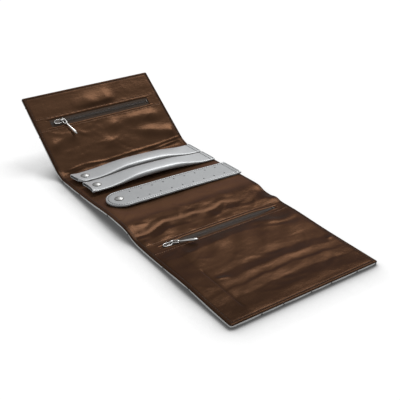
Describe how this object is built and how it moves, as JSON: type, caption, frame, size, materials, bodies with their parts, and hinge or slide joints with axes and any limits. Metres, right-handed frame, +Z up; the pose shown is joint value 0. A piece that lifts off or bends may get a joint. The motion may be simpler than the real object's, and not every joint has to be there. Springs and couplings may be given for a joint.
{
  "type": "jewelry roll",
  "caption": "Trifold leather jewelry roll lying open, with satin-lined zip pockets on both flaps, padded snap-down ring bars and a punched earring strap on its centre panel.",
  "frame": {"origin": "on the table under the middle of the opened roll: centre of the footprint, lowest point in Z", "axes": "+X along the zips from the slider end to the sewn ends, +Y from the front edge to the raised back flap, +Z up"},
  "size_m": [0.19, 0.464, 0.0773],
  "materials": {
    "silver_leather": "satin",
    "brown_satin": "satin",
    "pocket_cloth": "matte",
    "board": "matte",
    "foam": "matte",
    "zip_tape": "matte",
    "zip_coil": "satin",
    "bright_metal": "gloss"
  },
  "bodies": {
    "centre": {"centre_leather": "silver_leather", "centre_padding": "foam", "centre_lining": "brown_satin", "ring_bar_rear_snap_stud": "bright_metal", "ring_bar_rear_snap_rivet": "bright_metal", "ring_bar_front_snap_stud": "bright_metal", "ring_bar_front_snap_rivet": "bright_metal", "earring_strap_snap_stud": "bright_metal", "earring_strap_snap_rivet": "bright_metal", "ring_bar_rear_sewn_end": "silver_leather", "ring_bar_front_sewn_end": "silver_leather", "earring_strap_sewn_end": "silver_leather"},
    "back_spine": {"back_spine_leather": "silver_leather", "back_spine_lining": "brown_satin"},
    "back_flap": {"back_flap_leather": "silver_leather", "back_flap_board": "board", "back_flap_pocket_back": "pocket_cloth", "back_flap_pocket_front": "brown_satin", "back_flap_lining_band": "brown_satin", "back_flap_zip_tab_left": "brown_satin", "back_flap_zip_tab_right": "brown_satin", "back_zip_tape_front": "zip_tape", "back_zip_tape_rear": "zip_tape", "back_zip_coil_front": "zip_coil", "back_zip_coil_rear": "zip_coil", "back_zip_stop": "bright_metal"},
    "back_slider": {"back_zip_slider": "bright_metal"},
    "back_link": {"back_zip_link": "bright_metal"},
    "back_pull": {"back_zip_pull": "bright_metal"},
    "front_spine": {"front_spine_leather": "silver_leather", "front_spine_lining": "brown_satin"},
    "front_flap": {"front_flap_leather": "silver_leather", "front_flap_board": "board", "front_flap_pocket_back": "pocket_cloth", "front_flap_pocket_front": "brown_satin", "front_flap_lining_band": "brown_satin", "front_flap_zip_tab_left": "brown_satin", "front_flap_zip_tab_right": "brown_satin", "front_zip_tape_front": "zip_tape", "front_zip_tape_rear": "zip_tape", "front_zip_coil_front": "zip_coil", "front_zip_coil_rear": "zip_coil", "front_zip_stop": "bright_metal"},
    "front_slider": {"front_zip_slider": "bright_metal"},
    "front_link": {"front_zip_link": "bright_metal"},
    "front_pull": {"front_zip_pull": "bright_metal"},
    "ring_bar_rear": {"ring_bar_rear_cover": "silver_leather", "ring_bar_rear_core": "foam", "ring_bar_rear_snap_cap": "bright_metal", "ring_bar_rear_snap_socket": "bright_metal"},
    "ring_bar_front": {"ring_bar_front_cover": "silver_leather", "ring_bar_front_core": "foam", "ring_bar_front_snap_cap": "bright_metal", "ring_bar_front_snap_socket": "bright_metal"},
    "earring_strap": {"earring_strap_top": "silver_leather", "earring_strap_backing": "silver_leather", "earring_strap_snap_cap": "bright_metal", "earring_strap_snap_socket": "bright_metal"}
  },
  "joints": [
    {"name": "back_fold", "type": "hinge", "parent": "centre", "child": "back_spine", "pos_m": [0, 0.12103, 0.0043], "axis": [1, 0, 0], "range_deg": [-17, 71]},
    {"name": "back_flap_crease", "type": "hinge", "parent": "back_spine", "child": "back_flap", "pos_m": [0, 0.13403, 0.00828], "axis": [1, 0, 0], "range_deg": [-17, 71]},
    {"name": "front_fold", "type": "hinge", "parent": "centre", "child": "front_spine", "pos_m": [0, -0.03687, 0.00981], "axis": [-1, 0, 0], "range_deg": [0, 105.98]},
    {"name": "front_flap_crease", "type": "hinge", "parent": "front_spine", "child": "front_flap", "pos_m": [0, -0.05903, 0.0043], "axis": [-1, 0, 0], "range_deg": [0, 76.03]},
    {"name": "ring_bar_rear_lift", "type": "hinge", "parent": "centre", "child": "ring_bar_rear", "pos_m": [0.0835, 0.10115, 0.0081], "axis": [0, -0.9994, 0.0349], "range_deg": [-110, 0]},
    {"name": "ring_bar_front_lift", "type": "hinge", "parent": "centre", "child": "ring_bar_front", "pos_m": [0.0835, 0.06967, 0.0092], "axis": [0, -0.9994, 0.0349], "range_deg": [-110, 0]},
    {"name": "earring_strap_lift", "type": "hinge", "parent": "centre", "child": "earring_strap", "pos_m": [0.086, 0.02068, 0.01046], "axis": [0, -0.9994, 0.0349], "range_deg": [-110, 0]},
    {"name": "back_slide", "type": "slide", "parent": "back_flap", "child": "back_slider", "axis": [1, 0, 0], "range_m": [-0.005, 0.124]},
    {"name": "back_link_turn", "type": "hinge", "parent": "back_slider", "child": "back_link", "pos_m": [-0.0553, 0.19148, 0.05001], "axis": [0, -0.5878, 0.809], "range_deg": [-12, 158]},
    {"name": "back_pull_swing", "type": "hinge", "parent": "back_link", "child": "back_pull", "pos_m": [-0.05369, 0.18606, 0.04852], "axis": [0.9563, 0.2365, 0.1719], "range_deg": [-120, 0]},
    {"name": "front_slide", "type": "slide", "parent": "front_flap", "child": "front_slider", "axis": [1, 0, 0], "range_m": [0, 0.135]},
    {"name": "front_link_turn", "type": "hinge", "parent": "front_slider", "child": "front_link", "pos_m": [-0.061, -0.08303, 0.0043], "axis": [0, 0, -1], "range_deg": [-116, 54]},
    {"name": "front_pull_swing", "type": "hinge", "parent": "front_link", "child": "front_pull", "pos_m": [-0.05629, -0.08586, 0.00628], "axis": [0.515, 0.8572, 0], "range_deg": [-120, 0]}
  ],
  "couplings": [
    {"joint": "back_flap_crease", "follows": "back_fold", "ratio": 1},
    {"joint": "front_flap_crease", "follows": "front_fold", "ratio": 0.71733}
  ]
}
